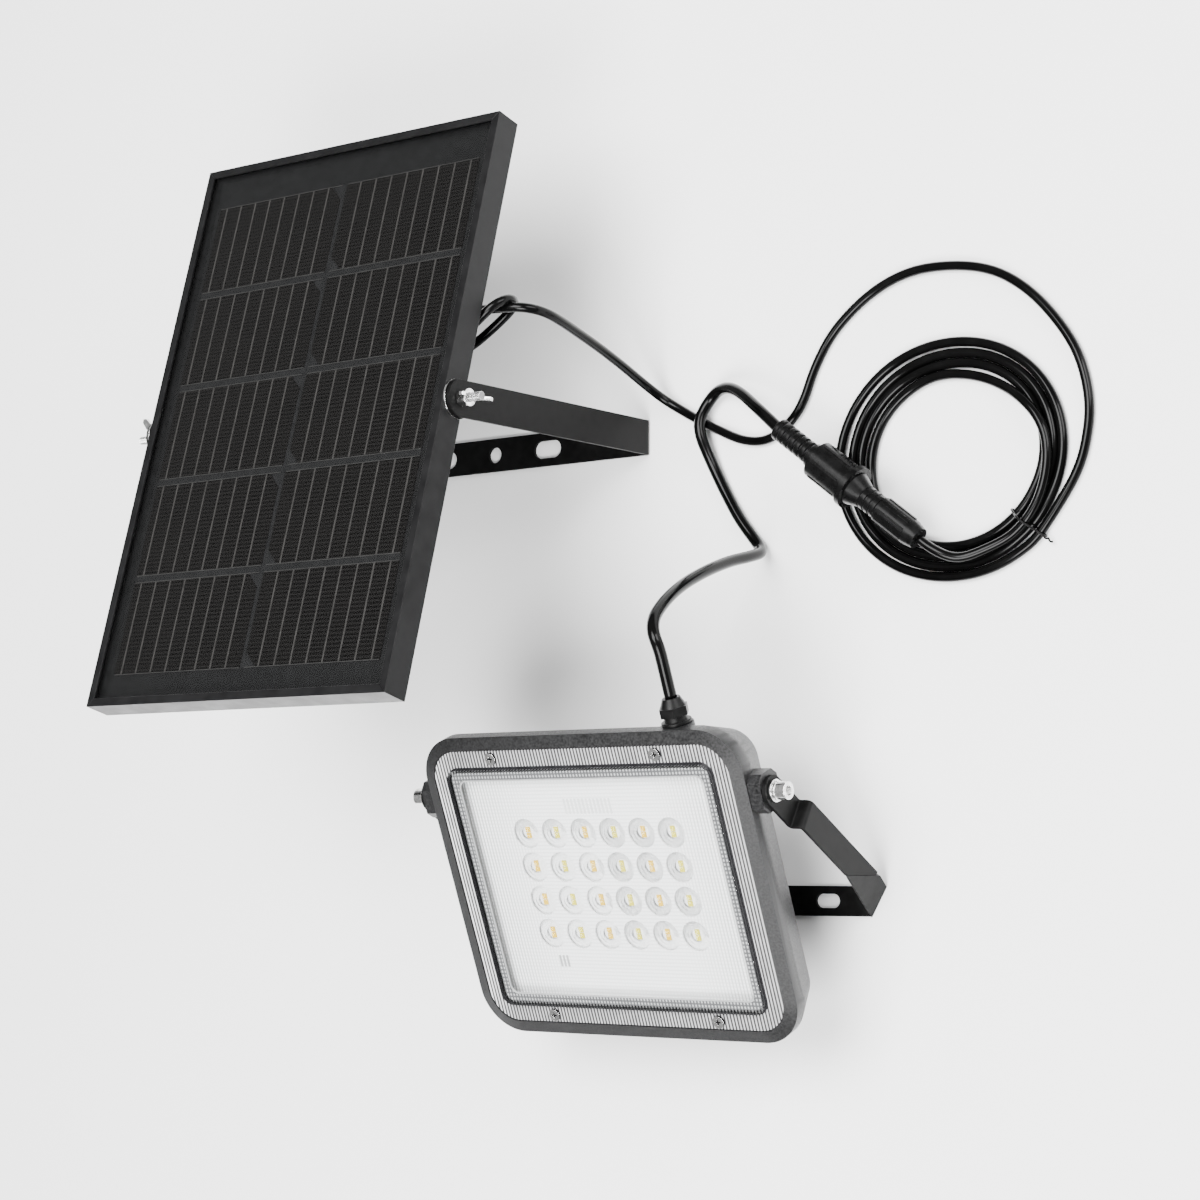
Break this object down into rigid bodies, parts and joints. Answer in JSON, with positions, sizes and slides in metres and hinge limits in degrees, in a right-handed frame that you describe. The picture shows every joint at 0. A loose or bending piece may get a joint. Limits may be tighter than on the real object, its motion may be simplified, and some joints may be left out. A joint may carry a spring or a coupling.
{
  "type": "solar flood light",
  "caption": "Solar flood light: a framed panel on a U bracket and an LED lamp on a folded yoke, joined by a coiled lead with a screwed connector.",
  "frame": {"origin": "middle of the panel bracket's foot, on its underside, where it meets the wall or floor", "axes": "+Z out of the surface that both feet are screwed to, +Y up when that surface is a wall, +X to the right towards the coiled lead"},
  "size_m": [0.556, 0.5256, 0.2325],
  "materials": {
    "frame_rail": "matte black anodised",
    "key_metal": "mill finish",
    "panel_glass": "tempered, clear",
    "solar_cell": "dark silicon",
    "backsheet": "black film",
    "black_plastic": "matte",
    "circuit_board": "solder mask",
    "bright_steel": "bright zinc",
    "black_rubber": "matte",
    "bracket_paint": "fine black powder coat",
    "housing": "textured dark coat",
    "clear_cover": "clear moulding",
    "white_plastic": "white satin",
    "board_white": "white solder mask",
    "led_phosphor": "phosphor",
    "battery_wrap": "shrink film over steel cans",
    "component_black": "matte",
    "lead_jacket": "satin black jacket",
    "connector_black": "satin black",
    "contact_brass": "plated",
    "seal_rubber": "matte"
  },
  "bodies": {
    "base": {"panel_bracket": "bracket_paint", "lamp_yoke": "bracket_paint", "panel_lead": "lead_jacket", "lead_coil": "lead_jacket", "coil_tie": "black_plastic", "coil_lead_end": "lead_jacket", "lamp_lead": "lead_jacket", "connector_plug": "connector_black", "connector_pins": "contact_brass", "connector_seal": "seal_rubber", "connector_socket": "connector_black", "connector_end_nut": "connector_black"},
    "panel": {"rail_left": "frame_rail", "rail_right": "frame_rail", "rail_top": "frame_rail", "rail_bottom": "frame_rail", "corner_keys": "key_metal", "panel_glass": "panel_glass", "solar_cells": "solar_cell", "backsheet": "backsheet", "junction_box": "black_plastic", "junction_lid": "black_plastic", "junction_board": "circuit_board", "junction_screws": "bright_steel", "panel_gland": "black_rubber", "pivot_bolts": "bright_steel", "pivot_washers": "black_plastic", "panel_lead_stub": "lead_jacket"},
    "wing_right": {"wing_nut_right": "bright_steel"},
    "wing_left": {"wing_nut_left": "bright_steel"},
    "lamp": {"lamp_housing": "housing", "cover_gasket": "black_rubber", "front_cover": "clear_cover", "cover_screws": "bright_steel", "reflector": "white_plastic", "led_board": "board_white", "board_screws": "bright_steel", "led_chips": "led_phosphor", "lenses": "clear_cover", "battery_cells": "battery_wrap", "battery_holder": "black_plastic", "controller_board": "circuit_board", "controller_parts": "component_black", "lamp_gland": "black_rubber", "gland_nut": "black_plastic", "lamp_bolts": "bright_steel", "flat_washers": "bright_steel", "spring_washers": "bright_steel", "lamp_lead_stub": "lead_jacket"},
    "coupling": {"coupling_nut": "connector_black"}
  },
  "joints": [
    {"name": "panel_tilt", "type": "hinge", "parent": "base", "child": "panel", "pos_m": [0, 0, 0.1755], "axis": [1, 0, 0], "range_deg": [-47, 89]},
    {"name": "lamp_tilt", "type": "hinge", "parent": "base", "child": "lamp", "pos_m": [0.1615, -0.21776, 0.1065], "axis": [1, 0, 0], "range_deg": [-80, 14]},
    {"name": "wing_nut_right_turn", "type": "hinge", "parent": "panel", "child": "wing_right", "pos_m": [0.124, 0, 0.1755], "axis": [1, 0, 0], "continuous": true},
    {"name": "wing_nut_left_turn", "type": "hinge", "parent": "panel", "child": "wing_left", "pos_m": [-0.124, 0, 0.1755], "axis": [1, 0, 0], "continuous": true},
    {"name": "coupling_nut_turn", "type": "hinge", "parent": "base", "child": "coupling", "pos_m": [0.2338, -0.009, 0.0286], "axis": [0.7828, -0.6182, -0.0715], "continuous": true}
  ]
}
